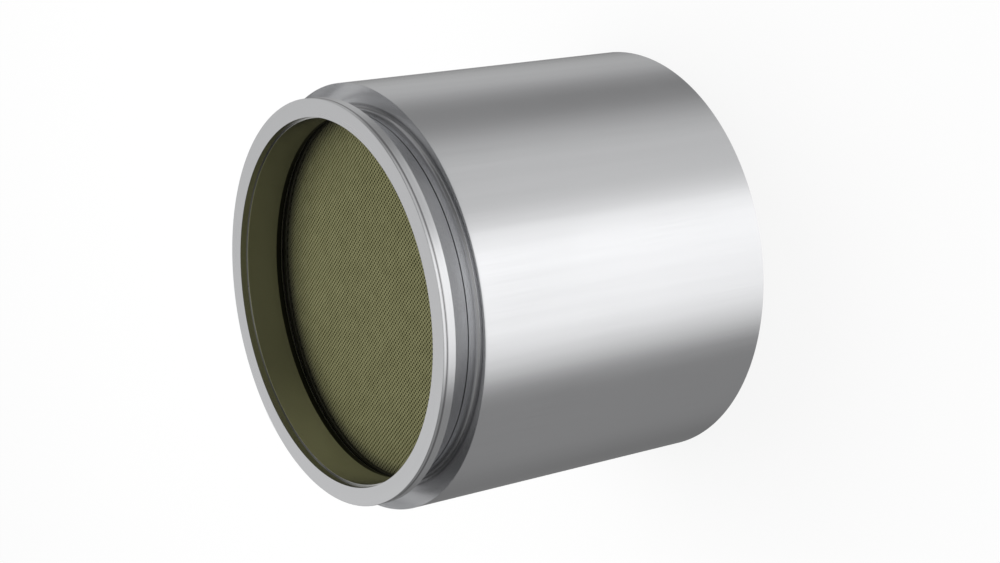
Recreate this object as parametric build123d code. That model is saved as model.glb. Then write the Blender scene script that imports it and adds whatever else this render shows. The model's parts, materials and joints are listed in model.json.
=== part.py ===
from build123d import *
import math
import os

# Round exhaust filter canister for a heavy vehicle, in millimetres. It stands on its
# plain outlet end: the axis is Z, the outlet rim lies at z = 0 and the inlet flange
# faces up. Radii are worked out from the filter brick outwards, and heights from the
# outlet rim up: as modelled, the shell is 302 across and the whole 266 long.

# Filter brick, a ceramic monolith with its cells plugged in turn
brick_diameter = 266.7
brick_length = 203.2
cell_pitch = 1.796         # 200 cells to the square inch
channel_turn = 32.5        # the rows of open cells, from X
channel_depth = 0.6

# Layers round the brick, from inside to outside
mat_thickness = 6.5
can_wall = 1.5
insulation_thickness = 8.15
jacket_wall = 1.5

# Wire seals over the brick's edges, and the ring behind the rear one
seal_cover = 2.45          # how far they reach in over the brick's end
seal_thickness = 2.15      # between the brick and its shoulder
seal_leg = 6.0             # along the side of the brick
retainer_skirt = 10.0

# Pressed inlet end ring, with its cove between neck and jacket
end_ring_wall = 1.5
cove_depth = 11.0          # from the seam down to the cove's unrounded corner
cove_radius = 3.0
can_cone = 4.0             # draws the can in behind the cove

# Inlet flange: a gasket seat ring on a turned V-flange with a weld neck
bore_step = 3.45           # the bores are smaller than the brick by this, at the radius
neck_wall = 1.5
neck_length = 27.0         # flange face to the butt seam
flange_width = 11.6        # rim beyond the neck
seat_thickness = 2.8
rim_thickness = 9.4        # both rings at the rim
rim_bevel = 0.3            # breaks the edges of the rim
v_angle = 20.0             # the clamp's cone, from the plane of the flange
root_radius = 2.0
seam_bevel = 0.4           # weld groove round the seam

# Liners inside the two bores
liner_wall = 1.0
liner_inset = 5.4          # from the mouth to the liner's edge
inlet_liner_gap = 11.0     # from the liner's inner edge to the brick
outlet_liner_gap = 6.0

# Plain outlet end
outlet_depth = 21.8        # outlet rim to the brick
outlet_wall = 1.5
outlet_bend = 2.5          # outside bend radius
outlet_lip = 12.0          # the lip inside the jacket
outlet_collar = 10.0       # the collar round the bore

# Clearances
fill_gap = 0.3             # blanket to the end ring

# Radii, worked out from the brick outwards
brick_r = brick_diameter / 2
can_inner_r = brick_r + mat_thickness
can_r = can_inner_r + can_wall
jacket_inner_r = can_r + insulation_thickness
shell_r = jacket_inner_r + jacket_wall
seal_inner_r = brick_r - seal_cover
bore_r = brick_r - bore_step
neck_r = bore_r + neck_wall
flange_r = neck_r + flange_width
cone_inside = can_cone - can_wall * (1 - math.tan(math.radians(22.5)))
row_pitch = cell_pitch * math.sqrt(2)

# Heights, worked out from the outlet rim upwards
brick_bottom_z = outlet_depth
brick_top_z = brick_bottom_z + brick_length
retainer_top_z = brick_bottom_z - seal_thickness
shoulder_z = brick_top_z + seal_thickness + can_wall
cove_floor_z = shoulder_z + end_ring_wall
web_angle = math.atan2(cove_depth, shell_r - neck_r)
cove_tangent = cove_radius / math.tan((math.pi / 2 - web_angle) / 2)
cove_corner_z = cove_floor_z + cove_radius - cove_tangent
seam_z = cove_corner_z + cove_depth
overall_length = seam_z + neck_length
rim_back_z = overall_length - rim_thickness
seat_z = overall_length - seat_thickness


def turned(*corners):
    """A ring turned about Z from a closed outline of (radius, height) corners."""
    outline = Polyline(*corners, close=True)
    return revolve(Plane.XZ * make_face(outline), Axis.Z)


def pressed(corners, bend, wall, side):
    """A ring pressed from sheet: the path of one skin, bent and given its wall."""
    path = FilletPolyline(*corners, radius=bend)
    section = make_face(offset(path, wall, side=side, closed=True))
    return revolve(Plane.XZ * section, Axis.Z)


def web_height(radius):
    """Height of the end ring's outer skin on the straight part of its web."""
    return cove_corner_z + (radius - neck_r) * math.tan(web_angle)


def under_web(radius, gap):
    """Height that lies the given gap below the end ring's inner skin."""
    return web_height(radius) - (end_ring_wall + gap) / math.cos(web_angle)


def inlet_seat_ring():
    """Flat ring that carries the gasket, with both outer edges broken."""
    bevel = rim_bevel
    top = overall_length
    return turned(
        (bore_r, seat_z),
        (flange_r - bevel, seat_z),
        (flange_r, seat_z + bevel),
        (flange_r, top - bevel),
        (flange_r - bevel, top),
        (bore_r + bevel, top),
        (bore_r, top - bevel),
    )


def inlet_v_flange():
    """Turned flange: rim, coned back for the clamp, and a neck down to the seam."""
    cone_drop = (flange_r - neck_r) * math.tan(math.radians(v_angle))
    bevel = rim_bevel
    neck = turned(
        (bore_r, seam_z),
        (neck_r - seam_bevel, seam_z),
        (neck_r, seam_z + seam_bevel),
        (neck_r, rim_back_z - cone_drop),
        (flange_r, rim_back_z),
        (flange_r, seat_z - bevel),
        (flange_r - bevel, seat_z),
        (bore_r, seat_z),
    )
    root = neck.edges().filter_by(GeomType.CIRCLE).sort_by_distance(
        Vector(neck_r, 0, rim_back_z - cone_drop)
    )[0]
    return fillet(root, root_radius)


def inlet_end_ring():
    """Pressed ring: collar, cove and a web that runs out to the jacket's corner."""
    overshoot = 2 * end_ring_wall
    outer_r = shell_r + overshoot
    ring = pressed(
        [(neck_r, seam_z), (neck_r, cove_corner_z), (outer_r, web_height(outer_r))],
        cove_radius,
        end_ring_wall,
        Side.RIGHT,
    )
    trim = Pos(0, 0, seam_z) * Cylinder(shell_r, 4 * cove_depth)
    ring = ring & trim
    edge = ring.edges().filter_by(GeomType.CIRCLE).sort_by_distance(Vector(neck_r, 0, seam_z))[0]
    return chamfer(edge, seam_bevel)


def liner(mouth_z, direction, brick_z, gap):
    """Thin sleeve in a bore, from its inset in the mouth to short of the brick."""
    outer_edge = mouth_z + direction * liner_inset
    inner_edge = brick_z - direction * gap
    inner_r = bore_r - liner_wall
    return turned((inner_r, outer_edge), (bore_r, outer_edge), (bore_r, inner_edge), (inner_r, inner_edge))


def outer_jacket():
    """Rolled shell, with its front edge cut to the slope of the end ring's web."""
    return turned(
        (jacket_inner_r, 0),
        (shell_r, 0),
        (shell_r, under_web(shell_r, 0)),
        (jacket_inner_r, under_web(jacket_inner_r, 0)),
    )


def insulation_blanket():
    """Fibre blanket that fills the space between can and jacket."""
    return turned(
        (can_r, outlet_lip),
        (jacket_inner_r, outlet_lip),
        (jacket_inner_r, under_web(jacket_inner_r, fill_gap)),
        (can_r, under_web(can_r, fill_gap)),
    )


def outlet_insulation():
    """Fibre ring in the foot of the same space, inside the outlet ring's lip."""
    return turned(
        (can_r, outlet_wall),
        (jacket_inner_r - outlet_bend, outlet_wall),
        (jacket_inner_r - outlet_wall, outlet_bend),
        (jacket_inner_r - outlet_wall, outlet_lip),
        (can_r, outlet_lip),
    )


def inner_can():
    """Can that holds the brick, drawn in at the front by a cone to a flat shoulder."""
    return turned(
        (can_inner_r, outlet_wall),
        (can_r, outlet_wall),
        (can_r, shoulder_z - can_cone),
        (can_r - can_cone, shoulder_z),
        (neck_r, shoulder_z),
        (neck_r, shoulder_z - can_wall),
        (can_inner_r - cone_inside, shoulder_z - can_wall),
        (can_inner_r, shoulder_z - can_wall - cone_inside),
    )


def support_mat():
    """Swelling mat that grips the brick in the can."""
    return turned(
        (brick_r, brick_bottom_z + seal_leg),
        (can_inner_r, brick_bottom_z + seal_leg),
        (can_inner_r, brick_top_z - seal_leg),
        (brick_r, brick_top_z - seal_leg),
    )


def mesh_seal(brick_z, direction):
    """Knitted wire ring of L section that covers the edge of the brick."""
    face = brick_z + direction * seal_thickness
    leg = brick_z - direction * seal_leg
    return turned(
        (seal_inner_r, brick_z),
        (brick_r, brick_z),
        (brick_r, leg),
        (can_inner_r, leg),
        (can_inner_r, face - direction * cone_inside),
        (can_inner_r - cone_inside, face),
        (seal_inner_r, face),
    )


def filter_brick():
    """Ceramic monolith, with a channel along each row of open cells in both faces."""
    body = Pos(0, 0, brick_bottom_z) * Cylinder(
        brick_r, brick_length, align=(Align.CENTER, Align.CENTER, Align.MIN)
    )
    rows = int(brick_r / row_pitch) - 1
    strips = [
        Pos(0, row * row_pitch) * Rectangle(2.2 * brick_r, row_pitch / 2)
        for row in range(-rows, rows + 1)
    ]
    channels = Rot(0, 0, channel_turn) * Sketch(strips)
    for floor_z in (brick_bottom_z, brick_top_z - channel_depth):
        body -= Pos(0, 0, floor_z) * extrude(channels, channel_depth)
    return body


def can_retainer():
    """Angle ring welded in the can's rear end, holding seal and brick."""
    foot_z = retainer_top_z - retainer_skirt
    return turned(
        (can_inner_r, foot_z),
        (can_inner_r, retainer_top_z),
        (neck_r, retainer_top_z),
        (neck_r, retainer_top_z - can_wall),
        (can_inner_r - can_wall, retainer_top_z - can_wall),
        (can_inner_r - can_wall, foot_z),
    )


def outlet_end_ring():
    """Flat ring that closes the rear: a lip in the jacket and a collar at the bore."""
    return pressed(
        [
            (jacket_inner_r, outlet_lip),
            (jacket_inner_r, 0),
            (bore_r, 0),
            (bore_r, outlet_collar),
        ],
        outlet_bend,
        outlet_wall,
        Side.RIGHT,
    )


pieces = {
    "inlet_seat_ring": inlet_seat_ring(),
    "inlet_v_flange": inlet_v_flange(),
    "inlet_liner": liner(overall_length, -1, brick_top_z, inlet_liner_gap),
    "inlet_end_ring": inlet_end_ring(),
    "outer_jacket": outer_jacket(),
    "insulation_blanket": insulation_blanket(),
    "outlet_insulation": outlet_insulation(),
    "inner_can": inner_can(),
    "support_mat": support_mat(),
    "inlet_mesh_seal": mesh_seal(brick_top_z, 1),
    "outlet_mesh_seal": mesh_seal(brick_bottom_z, -1),
    "filter_brick": filter_brick(),
    "can_retainer": can_retainer(),
    "outlet_end_ring": outlet_end_ring(),
    "outlet_liner": liner(0, 1, brick_bottom_z, outlet_liner_gap),
}

os.makedirs("parts", exist_ok=True)
for name, piece in pieces.items():
    export_step(piece, f"parts/{name}.step")
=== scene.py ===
import json
import math

import bmesh
import bpy
from mathutils import Matrix, Vector

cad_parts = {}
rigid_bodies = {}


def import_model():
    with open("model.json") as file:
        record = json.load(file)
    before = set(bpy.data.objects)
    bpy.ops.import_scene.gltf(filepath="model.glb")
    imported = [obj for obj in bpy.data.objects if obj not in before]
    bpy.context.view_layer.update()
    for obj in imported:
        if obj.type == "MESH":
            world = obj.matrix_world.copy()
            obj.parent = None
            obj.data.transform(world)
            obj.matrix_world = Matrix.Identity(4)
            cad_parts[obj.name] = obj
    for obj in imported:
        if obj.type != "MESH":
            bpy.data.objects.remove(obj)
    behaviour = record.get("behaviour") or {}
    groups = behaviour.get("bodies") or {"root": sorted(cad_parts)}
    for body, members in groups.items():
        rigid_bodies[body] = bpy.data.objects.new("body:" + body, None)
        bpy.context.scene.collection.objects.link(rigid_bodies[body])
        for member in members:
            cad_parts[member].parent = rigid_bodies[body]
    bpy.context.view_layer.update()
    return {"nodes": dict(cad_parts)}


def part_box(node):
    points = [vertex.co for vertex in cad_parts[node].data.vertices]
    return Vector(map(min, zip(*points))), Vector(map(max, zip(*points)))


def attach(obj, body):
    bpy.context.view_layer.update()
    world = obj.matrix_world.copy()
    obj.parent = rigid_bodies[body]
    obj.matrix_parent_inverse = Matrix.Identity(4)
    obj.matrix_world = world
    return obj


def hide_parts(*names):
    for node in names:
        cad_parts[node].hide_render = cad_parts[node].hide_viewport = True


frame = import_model()
nodes = frame["nodes"]
for leftover in [o for o in bpy.data.objects if o.name in ("Cube", "Light", "Camera")]:
    bpy.data.objects.remove(leftover)
MM = 0.001

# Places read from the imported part
seat_low, seat_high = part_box("inlet_seat_ring")
flange_low, flange_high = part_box("inlet_v_flange")
liner_low, liner_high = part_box("inlet_liner")
jacket_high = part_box("outer_jacket")[1]
brick_low, brick_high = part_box("filter_brick")
outlet_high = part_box("outlet_end_ring")[1]
sleeve_low, sleeve_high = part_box("outlet_liner")

SHELL_R = jacket_high.x
FLANGE_R = seat_high.x
BORE_R = liner_high.x
BRICK_R = brick_high.x
LIP_R = outlet_high.x
MOUTH_Z = seat_high.z
SEAM_Z = flange_low.z
BRICK_MIDDLE = (brick_low.z + brick_high.z) / 2

# Sheet and forms
SHEET = 1.5 * MM
LINER_WALL = 1.0 * MM
RIM = 9.4 * MM
V_ANGLE = math.radians(20)
ROOT_RADIUS = 2.0 * MM
RIM_BEVEL = 0.3 * MM
SEAM_BEVEL = 0.4 * MM
COVE_DEPTH = 11.0 * MM
COVE_RADIUS = 3.0 * MM
OUTLET_BEND = 2.5 * MM
COLLAR = 10.0 * MM
EDGE = 0.2 * MM
NECK_R = BORE_R + SHEET
WEB_ANGLE = math.atan2(COVE_DEPTH, SHELL_R - NECK_R)

# Fineness of the rings
RING_SIDES = 288
ARC_STEP = math.radians(10)
BEVEL_STEPS = 2
CORNER_REACH = 0.02 * MM
SMOOTH_BELOW = math.radians(30)
FLAT_WEIGHT = 80

# Honeycomb
CELL = 1.796 * MM
WEB = 0.32 * MM
CELL_DEPTH = 5.0 * MM
CELL_TURN = math.radians(77.5)
RIND = 0.8 * CELL


def arc(centre, radius, start, end):
    """Corners along an arc in the section, from one angle to another, in degrees."""
    start, end = math.radians(start), math.radians(end)
    steps = max(2, math.ceil(abs(end - start) / ARC_STEP))
    angles = [start + (end - start) * step / steps for step in range(steps + 1)]
    return [(centre[0] + radius * math.cos(a), centre[1] + radius * math.sin(a)) for a in angles]


def turned_ring(name, section, bevels=()):
    """A ring drawn out of one circle, corner by corner, round its closed section."""
    bpy.ops.object.select_all(action="DESELECT")
    radius, height = section[0]
    bpy.ops.mesh.primitive_circle_add(vertices=RING_SIDES, radius=radius, location=(0, 0, height))
    ring = bpy.context.object
    ring.name = ring.data.name = name
    bpy.ops.object.transform_apply(location=True, rotation=True, scale=True)
    bpy.ops.object.mode_set(mode="EDIT")
    bpy.ops.mesh.select_all(action="SELECT")
    for next_radius, next_height in section[1:]:
        rise = (0, 0, next_height - height)
        bpy.ops.mesh.extrude_edges_move(TRANSFORM_OT_translate={"value": rise})
        grow = next_radius / radius
        bpy.ops.transform.resize(value=(grow, grow, 1))
        radius, height = next_radius, next_height
    bpy.ops.mesh.select_non_manifold(extend=False)
    bpy.ops.mesh.bridge_edge_loops()
    for corner, width in bevels:
        select_corner(ring, corner)
        bpy.ops.mesh.bevel(offset=width, segments=BEVEL_STEPS, affect="EDGES")
    bpy.ops.mesh.select_all(action="SELECT")
    bpy.ops.mesh.normals_make_consistent(inside=False)
    bpy.ops.object.mode_set(mode="OBJECT")
    bpy.ops.object.shade_smooth_by_angle(angle=SMOOTH_BELOW)
    flat_faces = ring.modifiers.new("flat faces", "WEIGHTED_NORMAL")
    flat_faces.keep_sharp = True
    flat_faces.weight = FLAT_WEIGHT
    bpy.ops.object.modifier_apply(modifier=flat_faces.name)
    return ring


def select_corner(ring, corner):
    """Selects the loop of edges that runs round one corner of the section."""
    bpy.ops.mesh.select_mode(type="EDGE")
    bpy.ops.mesh.select_all(action="DESELECT")
    radius, height = corner
    mesh = bmesh.from_edit_mesh(ring.data)
    for edge in mesh.edges:
        edge.select = all(
            abs(v.co.xy.length - radius) < CORNER_REACH and abs(v.co.z - height) < CORNER_REACH
            for v in edge.verts
        )
    bmesh.update_edit_mesh(ring.data)


def seat_ring():
    """Flat ring at the mouth that carries the gasket."""
    inside, outside, low, high = BORE_R, FLANGE_R, seat_low.z, seat_high.z
    section = [(inside, low), (outside, low), (outside, high), (inside, high)]
    bevels = [((outside, low), RIM_BEVEL), ((outside, high), RIM_BEVEL), ((inside, high), RIM_BEVEL)]
    return turned_ring("flange_seat", section, bevels)


def v_flange():
    """Turned flange: rim, coned back and a neck that ends at the seam."""
    back = MOUTH_Z - RIM
    foot = back - (FLANGE_R - NECK_R) * math.tan(V_ANGLE)
    corner_angle = math.pi / 2 + V_ANGLE
    reach = ROOT_RADIUS / math.tan(corner_angle / 2)
    root_centre = (NECK_R + ROOT_RADIUS, foot - reach)
    section = [(BORE_R, SEAM_Z), (NECK_R, SEAM_Z)]
    section += arc(root_centre, ROOT_RADIUS, 180, 90 + math.degrees(V_ANGLE))
    section += [(FLANGE_R, back), (FLANGE_R, flange_high.z), (BORE_R, flange_high.z)]
    bevels = [
        ((NECK_R, SEAM_Z), SEAM_BEVEL),
        ((FLANGE_R, flange_high.z), RIM_BEVEL),
        ((FLANGE_R, back), EDGE),
    ]
    return turned_ring("clamp_flange", section, bevels)


def sleeve(name, low, high):
    """Thin sleeve inside a bore."""
    inside = BORE_R - LINER_WALL
    section = [(inside, low), (BORE_R, low), (BORE_R, high), (inside, high)]
    return turned_ring(name, section, [((inside, low), EDGE), ((inside, high), EDGE)])


def cove_ring():
    """Pressed ring: collar, cove, and a web that runs out to the jacket's corner."""
    web_degrees = 270 + math.degrees(WEB_ANGLE)
    tangent = COVE_RADIUS / math.tan((math.pi / 2 - WEB_ANGLE) / 2)
    centre = (NECK_R + COVE_RADIUS, SEAM_Z - COVE_DEPTH + tangent)
    section = [(BORE_R, SEAM_Z), (NECK_R, SEAM_Z)]
    section += arc(centre, COVE_RADIUS, 180, web_degrees)
    section += [(SHELL_R, SEAM_Z), (SHELL_R, SEAM_Z - SHEET / math.cos(WEB_ANGLE))]
    section += arc(centre, COVE_RADIUS + SHEET, web_degrees, 180)
    bevels = [((NECK_R, SEAM_Z), SEAM_BEVEL), ((SHELL_R, SEAM_Z), EDGE)]
    return turned_ring("cove_ring", section, bevels)


def jacket():
    """Rolled shell, its front edge cut to the slope of the web."""
    inside = SHELL_R - SHEET
    front = SEAM_Z - SHEET / math.cos(WEB_ANGLE)
    slope = SHEET * math.tan(WEB_ANGLE)
    section = [(inside, 0), (SHELL_R, 0), (SHELL_R, front), (inside, front - slope)]
    return turned_ring("jacket_shell", section, [((SHELL_R, 0), EDGE), ((inside, 0), EDGE)])


def outlet_ring():
    """Flat ring that closes the outlet end, with a lip in the jacket and a collar."""
    bend, wall = OUTLET_BEND, SHEET
    outer = (LIP_R - bend, bend)
    inner = (BORE_R + bend, bend)
    section = [(LIP_R, outlet_high.z)]
    section += arc(outer, bend, 0, -90)
    section += arc(inner, bend, -90, -180)
    section += [(BORE_R, COLLAR), (BORE_R + wall, COLLAR)]
    section += arc(inner, bend - wall, -180, -90)
    section += arc(outer, bend - wall, -90, 0)
    section += [(LIP_R - wall, outlet_high.z)]
    return turned_ring("outlet_ring", section)


def honeycomb(name, face_z, out, parity):
    """Half of the filter brick: a grid of cells, every other one open and sunk in."""
    half = math.ceil(BRICK_R / CELL) + 1
    count = 2 * half + 1
    bpy.ops.object.select_all(action="DESELECT")
    bpy.ops.mesh.primitive_grid_add(
        x_subdivisions=count, y_subdivisions=count, size=count * CELL, location=(0, 0, face_z)
    )
    brick = bpy.context.object
    brick.name = brick.data.name = name
    bpy.ops.object.transform_apply(location=True, rotation=True, scale=True)
    bpy.ops.object.mode_set(mode="EDIT")
    bpy.ops.mesh.select_mode(type="FACE")
    select_cells(brick, lambda x, y: math.hypot(x, y) > BRICK_R - RIND)
    bpy.ops.mesh.delete(type="FACE")
    select_cells(brick, lambda x, y: (round(x / CELL) + round(y / CELL)) % 2 == parity)
    bpy.ops.mesh.inset(thickness=WEB / 2, use_individual=True)
    sink = (0, 0, -out * CELL_DEPTH)
    bpy.ops.mesh.extrude_region_move(TRANSFORM_OT_translate={"value": sink})
    bpy.ops.mesh.select_mode(type="EDGE")
    bpy.ops.mesh.select_all(action="DESELECT")
    bpy.ops.mesh.select_non_manifold(extend=False)
    bpy.ops.mesh.extrude_edges_move()
    mesh = bmesh.from_edit_mesh(brick.data)
    for vertex in mesh.verts:
        if vertex.select:
            vertex.co.xy = vertex.co.xy.normalized() * BRICK_R
    bmesh.update_edit_mesh(brick.data)
    to_middle = (0, 0, BRICK_MIDDLE - face_z)
    bpy.ops.mesh.extrude_edges_move(TRANSFORM_OT_translate={"value": to_middle})
    bpy.ops.mesh.edge_face_add()
    bpy.ops.mesh.select_all(action="SELECT")
    bpy.ops.mesh.normals_make_consistent(inside=False)
    bpy.ops.object.mode_set(mode="OBJECT")
    brick.rotation_euler = (0, 0, CELL_TURN)
    bpy.ops.object.transform_apply(location=True, rotation=True, scale=True)
    return brick


def select_cells(brick, wanted):
    """Selects the faces of the grid whose centres answer the question."""
    mesh = bmesh.from_edit_mesh(brick.data)
    for face in mesh.faces:
        centre = face.calc_center_median()
        face.select = wanted(centre.x, centre.y)
    mesh.select_flush_mode()
    bmesh.update_edit_mesh(brick.data)


pieces = {
    "inlet_seat_ring": seat_ring(),
    "inlet_v_flange": v_flange(),
    "inlet_liner": sleeve("inlet_sleeve", liner_low.z, liner_high.z),
    "inlet_end_ring": cove_ring(),
    "outer_jacket": jacket(),
    "outlet_end_ring": outlet_ring(),
    "outlet_liner": sleeve("outlet_sleeve", sleeve_low.z, sleeve_high.z),
}
slots = {
    "inlet_seat_ring": "flange_steel",
    "inlet_v_flange": "flange_steel",
    "inlet_liner": "liner_steel",
    "inlet_end_ring": "pressed_steel",
    "outer_jacket": "jacket_steel",
    "outlet_end_ring": "pressed_steel",
    "outlet_liner": "liner_steel",
}
for node, piece in pieces.items():
    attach(piece, "root")
    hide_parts(node)

honeycombs = [
    honeycomb("honeycomb_inlet", brick_high.z, 1, 0),
    honeycomb("honeycomb_outlet", brick_low.z, -1, 1),
]
for piece in honeycombs:
    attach(piece, "root")
    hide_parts("filter_brick")


class Wiring:
    """A node tree being wired, with short ways to add nodes and to join them."""

    def __init__(self, tree):
        self.tree = tree

    def add(self, kind, **settings):
        """A new node with its settings made."""
        node = self.tree.nodes.new(kind)
        for setting, value in settings.items():
            setattr(node, setting, value)
        return node

    def feed(self, socket, value):
        """Joins the socket to another, or gives it a value of its own."""
        if isinstance(value, bpy.types.NodeSocket):
            self.tree.links.new(value, socket)
        else:
            socket.default_value = value

    def compute(self, operation, first, second=0.0):
        """The result of one operation on two values."""
        node = self.add("ShaderNodeMath", operation=operation)
        self.feed(node.inputs[0], first)
        self.feed(node.inputs[1], second)
        return node.outputs[0]

    def apart(self, vector):
        """The three parts of a vector."""
        node = self.add("ShaderNodeSeparateXYZ")
        self.feed(node.inputs[0], vector)
        return node.outputs

    def spread(self, value, low, high, start=0.3, end=0.7, kind="LINEAR"):
        """A value taken from between start and end to between low and high.

        Without start and end it suits noise, which mostly lies between 0.3 and 0.7.
        """
        node = self.add("ShaderNodeMapRange", interpolation_type=kind)
        self.feed(node.inputs["Value"], value)
        node.inputs["From Min"].default_value = start
        node.inputs["From Max"].default_value = end
        node.inputs["To Min"].default_value = low
        node.inputs["To Max"].default_value = high
        return node.outputs["Result"]

    def blend(self, factor, first, second):
        """One colour into another."""
        node = self.add("ShaderNodeMix", data_type="RGBA")
        self.feed(node.inputs["Factor"], factor)
        for socket, colour in ((node.inputs["A"], first), (node.inputs["B"], second)):
            plain = isinstance(colour, tuple)
            self.feed(socket, (*colour, 1) if plain else colour)
        return node.outputs["Result"]

    def mix(self, factor, first, second):
        """One shader into another."""
        node = self.add("ShaderNodeMixShader")
        for socket, value in zip(node.inputs, (factor, first, second)):
            self.feed(socket, value)
        return node.outputs[0]


# Fineness of the noise, from soft clouds to sharp grains
SOFT_DETAIL = 2
FINE_DETAIL = 3
GRAIN_DETAIL = 4

# How far lines that run round the axis wander, for each radian
LINE_DRIFT = 0.004


class Finish(Wiring):
    """A material on the part, wired from places on the part in metres."""

    def __init__(self, name):
        self.material = bpy.data.materials.new(name)
        self.material.use_nodes = True
        super().__init__(self.material.node_tree)
        self.shader = self.tree.nodes["Principled BSDF"]
        self.place = self.add("ShaderNodeTexCoord").outputs["Object"]
        x, self.side, self.height = self.apart(self.place)
        squares = [self.compute("MULTIPLY", part, part) for part in (x, self.side)]
        self.radius = self.compute("SQRT", self.compute("ADD", *squares))
        self.angle = self.compute("ARCTAN2", self.side, x)

    def stretched(self, place, scale, turn=0.0):
        """The place scaled along each axis, to draw a pattern out into streaks."""
        node = self.add("ShaderNodeMapping")
        self.feed(node.inputs["Vector"], place)
        node.inputs["Rotation"].default_value = (0, 0, turn)
        node.inputs["Scale"].default_value = scale
        return node.outputs["Vector"]

    def turned(self):
        """Radius, height and a little of the angle: lines that run round the axis."""
        node = self.add("ShaderNodeCombineXYZ")
        drift = self.compute("MULTIPLY", self.angle, LINE_DRIFT)
        for socket, value in zip(node.inputs, (self.radius, self.height, drift)):
            self.feed(socket, value)
        return node.outputs[0]

    def noise(self, place, scale, detail):
        """Soft random patches, as many to the metre as the scale says."""
        node = self.add("ShaderNodeTexNoise")
        self.feed(node.inputs["Vector"], place)
        node.inputs["Scale"].default_value = scale
        node.inputs["Detail"].default_value = detail
        return node.outputs["Fac"]

    def both(self, first, second, share=0.5):
        """Two patterns laid over each other, the first with the given share."""
        part = self.compute("MULTIPLY", first, share)
        return self.compute("ADD", part, self.compute("MULTIPLY", second, 1 - share))

    def bump(self, height, depth, strength=1.0, under=None):
        """Relief of the given depth in metres, on top of another relief if there is one."""
        node = self.add("ShaderNodeBump")
        self.feed(node.inputs["Height"], height)
        node.inputs["Distance"].default_value = depth
        node.inputs["Strength"].default_value = strength
        if under is not None:
            self.feed(node.inputs["Normal"], under)
        return node.outputs["Normal"]

    def near(self, ring, full, none):
        """One round a ring of (radius, height), falling to nothing further off."""
        off = self.compute("SUBTRACT", self.radius, ring[0])
        rise = self.compute("SUBTRACT", self.height, ring[1])
        squares = [self.compute("MULTIPLY", part, part) for part in (off, rise)]
        distance = self.compute("SQRT", self.compute("ADD", *squares))
        return self.spread(distance, 0, 1, none, full, "SMOOTHSTEP")

    def beyond(self, none, full):
        """One on the side of the part towards -Y, past full, and nothing before none."""
        return self.spread(self.side, 0, 1, none, full, "SMOOTHSTEP")

    def in_bore(self, limit, low):
        """One where the surface lies nearer to the axis than the limit and above low."""
        inner = self.compute("LESS_THAN", self.radius, limit)
        return self.compute("MULTIPLY", inner, self.compute("GREATER_THAN", self.height, low))


# Lines, clouds and wear of the steel, the broad lines in sizes of the fine ones
ALONG = (1, 1, 0.02)
TONE_SPREAD = 0.965
BROAD_WIDTH = 9
BROAD_DEPTH = 2.5
CLOUDS = 14
WEAR = 0.02
LINE_WEAR = 0.025


def shade(mask, tint, **settings):
    """A tint for the steel, laid on where the mask with these settings is one."""
    return mask, settings, tint


def steel(name, colour, roughness, lines, scale, depth, shades=()):
    """Clean stainless steel with the fine lines that its making leaves.

    The lines run round the axis or along it, and each shade is laid over the last.
    """
    finish = Finish(name)
    shader = finish.shader
    place = finish.turned() if lines == "round" else finish.stretched(finish.place, ALONG)
    fine = finish.noise(place, scale, FINE_DETAIL)
    broad = finish.noise(place, scale / BROAD_WIDTH, SOFT_DETAIL)
    cloud = finish.noise(finish.place, CLOUDS, FINE_DETAIL)
    dull = tuple(channel * TONE_SPREAD for channel in colour)
    base = finish.blend(finish.spread(finish.both(fine, cloud), 0, 1), dull, colour)
    for mask, settings, tint in shades:
        base = finish.blend(mask(finish, **settings), base, tint)
    finish.feed(shader.inputs["Base Color"], base)
    worn = finish.spread(cloud, -WEAR, WEAR)
    lined = finish.spread(broad, roughness - LINE_WEAR, roughness + LINE_WEAR)
    finish.feed(shader.inputs["Roughness"], finish.compute("ADD", worn, lined))
    shader.inputs["Metallic"].default_value = 1.0
    under = finish.bump(broad, depth * BROAD_DEPTH)
    finish.feed(shader.inputs["Normal"], finish.bump(fine, depth, under=under))
    return finish.material


# Filter ceramic, with painted shade where the ring covers its edge
CERAMIC_DARK = (0.148, 0.145, 0.066)
CERAMIC_LIGHT = (0.200, 0.197, 0.096)
CERAMIC_ROUGHNESS = 0.9
GRAINS = 5200
GRAIN_SHARE = 0.6
GRAIN_DEPTH = 0.06 * MM
BLOTCHES = 90
PAINTED_EDGE_SHADE = (0.060, 0.058, 0.030)
EDGE_SHADE_FROM = BRICK_R - 12 * MM
EDGE_SHADE_FULL = BRICK_R - 2 * MM


def ceramic():
    """Extruded filter ceramic: olive and porous, with shade painted on where the ring covers its
    edge.
    """
    finish = Finish("filter ceramic")
    shader = finish.shader
    grains = finish.noise(finish.place, GRAINS, GRAIN_DETAIL)
    blotch = finish.noise(finish.place, BLOTCHES, FINE_DETAIL)
    tone = finish.spread(finish.both(grains, blotch, GRAIN_SHARE), 0, 1, start=0.35, end=0.65)
    colour = finish.blend(tone, CERAMIC_DARK, CERAMIC_LIGHT)
    # Painted shade: the ceramic darkens towards its rim, under the ring's overhang
    edge = finish.spread(finish.radius, 0, 1, EDGE_SHADE_FROM, EDGE_SHADE_FULL)
    finish.feed(shader.inputs["Base Color"], finish.blend(edge, colour, PAINTED_EDGE_SHADE))
    shader.inputs["Roughness"].default_value = CERAMIC_ROUGHNESS
    finish.feed(shader.inputs["Normal"], finish.bump(grains, GRAIN_DEPTH, strength=0.6))
    return finish.material


# Knitted wire, its strands bands that cross at a slant, dark to paint in the shade of the narrow gap
# where the seals sit
WIRE = (0.20, 0.195, 0.16)
WIRE_ROUGHNESS = 0.4
WIRE_GAP = (0.04, 0.04, 0.03)
GAP_ROUGHNESS = 0.6
STRANDS = 160
STRAND_STRETCH = (120, 1, 1)
STRAND_TURN = 0.7
STRAND_WAVER = 1.5
STRAND_DEPTH = 0.3 * MM


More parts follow.
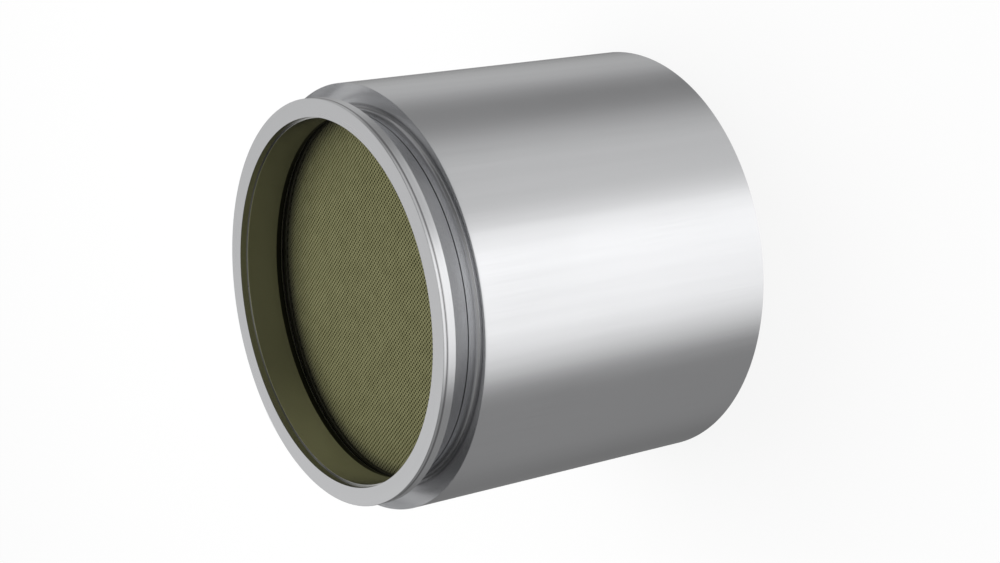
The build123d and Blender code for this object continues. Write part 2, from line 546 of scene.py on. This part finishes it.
def wire_mesh():
    """Knitted and pressed wire: crossing strands over dark gaps."""
    finish = Finish("knitted seal wire")
    shader = finish.shader
    strands = []
    for turn in (STRAND_TURN, -STRAND_TURN):
        wave = finish.add("ShaderNodeTexWave", wave_type="BANDS", bands_direction="X")
        place = finish.stretched(finish.turned(), STRAND_STRETCH, turn)
        finish.feed(wave.inputs["Vector"], place)
        wave.inputs["Scale"].default_value = STRANDS
        wave.inputs["Distortion"].default_value = STRAND_WAVER
        strands.append(wave.outputs["Fac"])
    over = finish.compute("MAXIMUM", *strands)
    finish.feed(shader.inputs["Base Color"], finish.blend(over, WIRE_GAP, WIRE))
    roughness = finish.spread(over, GAP_ROUGHNESS, WIRE_ROUGHNESS, start=0, end=1)
    finish.feed(shader.inputs["Roughness"], roughness)
    shader.inputs["Metallic"].default_value = 1.0
    finish.feed(shader.inputs["Normal"], finish.bump(over, STRAND_DEPTH, strength=0.8))
    return finish.material


# Felted fibre, with threads drawn out along the axis and across it
THREADS_ALONG = (1, 1, 0.15)
THREADS_ACROSS = (0.2, 0.2, 1)
FELT_DEPTH = 0.2 * MM
FELT_ROUGHNESS = 0.95


def fibre(name, dark, light, scale):
    """Felted fibre: short crossing threads in two tones."""
    finish = Finish(name)
    shader = finish.shader
    along = finish.noise(finish.stretched(finish.place, THREADS_ALONG), scale, GRAIN_DETAIL)
    across = finish.noise(finish.stretched(finish.place, THREADS_ACROSS), scale, GRAIN_DETAIL)
    felt = finish.compute("MAXIMUM", along, across)
    colour = finish.blend(finish.spread(felt, 0, 1, start=0.4, end=0.7), dark, light)
    finish.feed(shader.inputs["Base Color"], colour)
    shader.inputs["Roughness"].default_value = FELT_ROUGHNESS
    finish.feed(shader.inputs["Normal"], finish.bump(felt, FELT_DEPTH, strength=0.7))
    return finish.material


# Dark lines: the weld seam, and the parting line round the rim
SEAM_LINE = shade(
    Finish.near, (0.012, 0.012, 0.012), ring=(NECK_R, SEAM_Z), full=0.3 * MM, none=0.5 * MM
)
SEAT_LINE = shade(
    Finish.near, (0.54, 0.54, 0.55), ring=(FLANGE_R, seat_low.z), full=0.6 * MM, none=1.2 * MM
)

# Painted shade: darker steel in the cove and in the bores, and a near black band on the can's edge
COVE_RING = (NECK_R + COVE_RADIUS, SEAM_Z - COVE_DEPTH + 2.2 * MM)
# Painted shade in the cove's fillet
COVE_SHADE = shade(Finish.near, (0.42, 0.42, 0.43), ring=COVE_RING, full=0.8 * MM, none=3.2 * MM)
# Painted shade: the flange steel darker inside the bore
BORE_PAINTED_SHADE = shade(Finish.in_bore, (0.34, 0.34, 0.325), limit=BORE_R + 0.2 * MM, low=BRICK_MIDDLE)
# Painted shade: the pressed ring near black inside its bore
NECK_BORE_PAINTED_SHADE = shade(
    Finish.in_bore, (0.03, 0.03, 0.028), limit=BORE_R + 0.4 * MM, low=BRICK_MIDDLE
)
# Painted shade: the can steel near black at its inner edge
CAN_EDGE_PAINTED_SHADE = shade(Finish.in_bore, (0.06, 0.06, 0.05), limit=NECK_R + 1 * MM, low=0)

# Painted light on the liners: a lighter side towards -Y, and painted highlights on the cut edges
PAINTED_LIT_SIDE = shade(Finish.beyond, (0.625, 0.625, 0.60), none=-40 * MM, full=-115 * MM)
# Painted highlight along the liners' cut edges
CUT_EDGE_HIGHLIGHTS = [
    shade(
        Finish.near, (0.83, 0.83, 0.82),
        ring=(BORE_R - LINER_WALL / 2, edge), full=0.6 * MM, none=0.8 * MM,
    )
    for edge in (liner_high.z, sleeve_low.z)
]

BRIGHT_STEEL = (0.90, 0.905, 0.92)
# The liners' steel darkened to paint in the shade of the deep bores
SHADED_LINER_STEEL = (0.335, 0.335, 0.32)
CAN_STEEL = (0.62, 0.60, 0.57)

finishes = {
    "flange_steel": steel(
        "machined flange steel", BRIGHT_STEEL, roughness=0.24, lines="round",
        scale=2600, depth=0.003 * MM, shades=(SEAM_LINE, SEAT_LINE, BORE_PAINTED_SHADE),
    ),
    "liner_steel": steel(
        "liner sheet steel", SHADED_LINER_STEEL, roughness=0.22, lines="round",
        scale=1500, depth=0.003 * MM, shades=(PAINTED_LIT_SIDE, *CUT_EDGE_HIGHLIGHTS),
    ),
    "pressed_steel": steel(
        "pressed ring steel", BRIGHT_STEEL, roughness=0.24, lines="round",
        scale=1200, depth=0.003 * MM, shades=(COVE_SHADE, SEAM_LINE, NECK_BORE_PAINTED_SHADE),
    ),
    "jacket_steel": steel(
        "rolled jacket steel", BRIGHT_STEEL, roughness=0.22, lines="along",
        scale=900, depth=0.007 * MM,
    ),
    "can_steel": steel(
        "inner can steel", CAN_STEEL, roughness=0.38, lines="along",
        scale=700, depth=0.004 * MM, shades=(CAN_EDGE_PAINTED_SHADE,),
    ),
    "wire_mesh": wire_mesh(),
    "filter_ceramic": ceramic(),
    "fibre_mat": fibre(
        "support mat fibre", dark=(0.42, 0.38, 0.30), light=(0.62, 0.57, 0.46), scale=1800
    ),
    "fibre_blanket": fibre(
        "insulation fibre", dark=(0.62, 0.61, 0.58), light=(0.80, 0.79, 0.76), scale=1400
    ),
}
for node, piece in pieces.items():
    piece.data.materials.append(finishes[slots[node]])
for piece in honeycombs:
    piece.data.materials.append(finishes["filter_ceramic"])

# Inner pieces whose solids stay as they are, with their finishes
inner_slots = {
    "insulation_blanket": "fibre_blanket",
    "outlet_insulation": "fibre_blanket",
    "inner_can": "can_steel",
    "can_retainer": "can_steel",
    "support_mat": "fibre_mat",
    "inlet_mesh_seal": "wire_mesh",
    "outlet_mesh_seal": "wire_mesh",
}
for node, slot in inner_slots.items():
    for holder in nodes[node].material_slots:
        holder.material = finishes[slot]

# Floor
FLOOR_DROP = 0.3 * MM
FLOOR_SIZE = 8
FLOOR_WHITE = 0.86
FLOOR_COLOUR = (0.9, 0.9, 0.9, 1)


def floor_paper():
    """White to the camera and faintly shaded; the part sees the studio through it."""
    paper = bpy.data.materials.new("floor paper")
    paper.use_nodes = True
    sheet = Wiring(paper.node_tree)
    sheet.tree.nodes.clear()
    path = sheet.add("ShaderNodeLightPath").outputs
    matt = sheet.add("ShaderNodeBsdfDiffuse")
    matt.inputs["Color"].default_value = FLOOR_COLOUR
    glow = sheet.add("ShaderNodeEmission").outputs[0]
    seen = sheet.compute("MULTIPLY", path["Is Camera Ray"], FLOOR_WHITE)
    white = sheet.mix(seen, matt.outputs[0], glow)
    through = sheet.compute("MAXIMUM", path["Is Glossy Ray"], path["Is Transmission Ray"])
    through = sheet.compute("MAXIMUM", through, path["Is Diffuse Ray"])
    underside = sheet.add("ShaderNodeNewGeometry").outputs["Backfacing"]
    clear = sheet.add("ShaderNodeBsdfTransparent").outputs[0]
    surface = sheet.mix(sheet.compute("MAXIMUM", through, underside), white, clear)
    sheet.feed(sheet.add("ShaderNodeOutputMaterial").inputs[0], surface)
    return paper


bpy.ops.object.select_all(action="DESELECT")
bpy.ops.mesh.primitive_plane_add(size=FLOOR_SIZE, location=(0, 0, -FLOOR_DROP))
floor = bpy.context.object
floor.name = "floor"
floor.data.materials.append(floor_paper())

# Studio: white behind the part, an even fill, and soft panels that the steel mirrors.
# Upright walls mirror the lower ones, and faces and the cove mirror the upper ones.
# Each panel is (azimuth in degrees, brightness), and each runs softly into the next.
LOWER_PANELS = [
    (-180, 0.26), (-160, 0.205), (-138, 0.178), (-110, 0.233), (-70, 0.238), (-62, 0.245),
    (-53, 0.45), (-43, 0.765), (-30, 1.0), (-15, 1.09), (0, 1.14), (14, 1.185), (23, 1.10),
    (33, 0.785), (42, 0.63), (55, 0.60), (68, 0.57), (82, 0.44), (97, 0.257), (115, 0.257),
    (121, 0.33), (128, 0.43), (140, 0.47), (150, 0.43), (160, 0.33), (170, 0.26), (180, 0.26),
]
UPPER_PANELS = [
    (-180, 0.50), (-174, 0.53), (-166, 0.57), (-160, 0.38), (-152, 0.13), (-143, 0.08),
    (-128, 0.05), (-110, 0.05), (-90, 0.12), (-60, 0.21), (-25, 0.31), (0, 0.37),
    (12, 0.36), (22, 0.28), (33, 0.20), (45, 0.14), (58, 0.11), (70, 0.09), (80, 0.11),
    (90, 0.20), (98, 0.26), (110, 0.26), (118, 0.36), (123, 0.31), (131, 0.15),
    (140, 0.15), (148, 0.24), (157, 0.38), (166, 0.49), (173, 0.49), (180, 0.50),
]
BRIGHTEST = 1.3
OVERHEAD = (0.37, 0.37, 0.37)
FILL = (0.68, 0.68, 0.68)
BLACK = (0.0, 0.0, 0.0)
WHITE = (1.0, 1.0, 1.0)

# Heights where the panels change, from -1 straight down to 1 straight up
DIM_HEIGHTS = (-0.66, -0.54)
DIM_LEVEL = 0.89
UPPER_HEIGHTS = (-0.48, -0.42)
OVERHEAD_HEIGHTS = (0.86, 0.98)


def panels(studio, share, levels):
    """Grey levels set round the horizon by azimuth, with soft edges."""
    ramp = studio.add("ShaderNodeValToRGB")
    ramp.color_ramp.interpolation = "CARDINAL"
    studio.feed(ramp.inputs[0], share)
    stops = ramp.color_ramp.elements
    half_way = 0.5
    while len(stops) < len(levels):
        stops.new(half_way)
    for stop, (azimuth, level) in zip(stops, levels):
        grey = level / BRIGHTEST
        stop.position = (azimuth + 180) / 360
        stop.color = (grey, grey, grey, 1)
    return studio.compute("MULTIPLY", ramp.outputs["Color"], BRIGHTEST)


def studio_world():
    """The world round the part: what the camera, the steel and plain surfaces each see."""
    world = bpy.data.worlds.new("studio")
    world.use_nodes = True
    studio = Wiring(world.node_tree)
    studio.tree.nodes.clear()
    path = studio.add("ShaderNodeLightPath").outputs
    x, y, z = studio.apart(studio.add("ShaderNodeTexCoord").outputs["Generated"])
    share = studio.spread(studio.compute("ARCTAN2", y, x), 0, 1, -math.pi, math.pi)
    lower = panels(studio, share, LOWER_PANELS)
    dimmed = studio.blend(studio.spread(z, DIM_LEVEL, 1, *DIM_HEIGHTS), BLACK, lower)
    upper = panels(studio, share, UPPER_PANELS)
    around = studio.blend(studio.spread(z, 0, 1, *UPPER_HEIGHTS), dimmed, upper)
    mirrored = studio.blend(studio.spread(z, 0, 1, *OVERHEAD_HEIGHTS), around, OVERHEAD)
    lit = studio.blend(path["Is Glossy Ray"], FILL, mirrored)
    behind = studio.compute("MAXIMUM", path["Is Camera Ray"], path["Is Transmission Ray"])
    sky = studio.add("ShaderNodeBackground")
    studio.feed(sky.inputs["Color"], studio.blend(behind, lit, WHITE))
    studio.feed(studio.add("ShaderNodeOutputWorld").inputs[0], sky.outputs[0])
    return world


bpy.context.scene.world = studio_world()

# Key lamp, soft and overhead
KEY_SIZE = 1.1
KEY_ENERGY = 15
KEY_PLACE = Vector((-0.6, 0.2, 1.6))
KEY_AIM = Vector((0, 0, 0.2))
key_data = bpy.data.lights.new("key", "AREA")
key_data.shape = "DISK"
key_data.size = KEY_SIZE
key_data.energy = KEY_ENERGY
key = bpy.data.objects.new("key", key_data)
key.location = KEY_PLACE
key.rotation_euler = (KEY_AIM - KEY_PLACE).to_track_quat("-Z", "Y").to_euler()
bpy.context.scene.collection.objects.link(key)
key.visible_glossy = False

bpy.context.scene.view_settings.view_transform = "Standard"

# Camera, at the photograph's viewing angle
CAMERA_PLACE = (1.2950, 0.1242, 0.9893)
CAMERA_RIGHT = Vector((0.56043, -0.12295, -0.81903)).normalized()
CAMERA_UP = Vector((0.0, 0.98892, -0.14845)).normalized()
CAMERA_LENS = 76.9
camera_data = bpy.data.cameras.new("camera")
camera_data.lens = CAMERA_LENS
camera = bpy.data.objects.new("camera", camera_data)
bpy.context.scene.collection.objects.link(camera)
camera_axes = Matrix((CAMERA_RIGHT, CAMERA_UP, CAMERA_RIGHT.cross(CAMERA_UP)))
camera_turn = camera_axes.transposed().to_4x4()
camera.matrix_world = Matrix.Translation(CAMERA_PLACE) @ camera_turn
bpy.context.scene.camera = camera
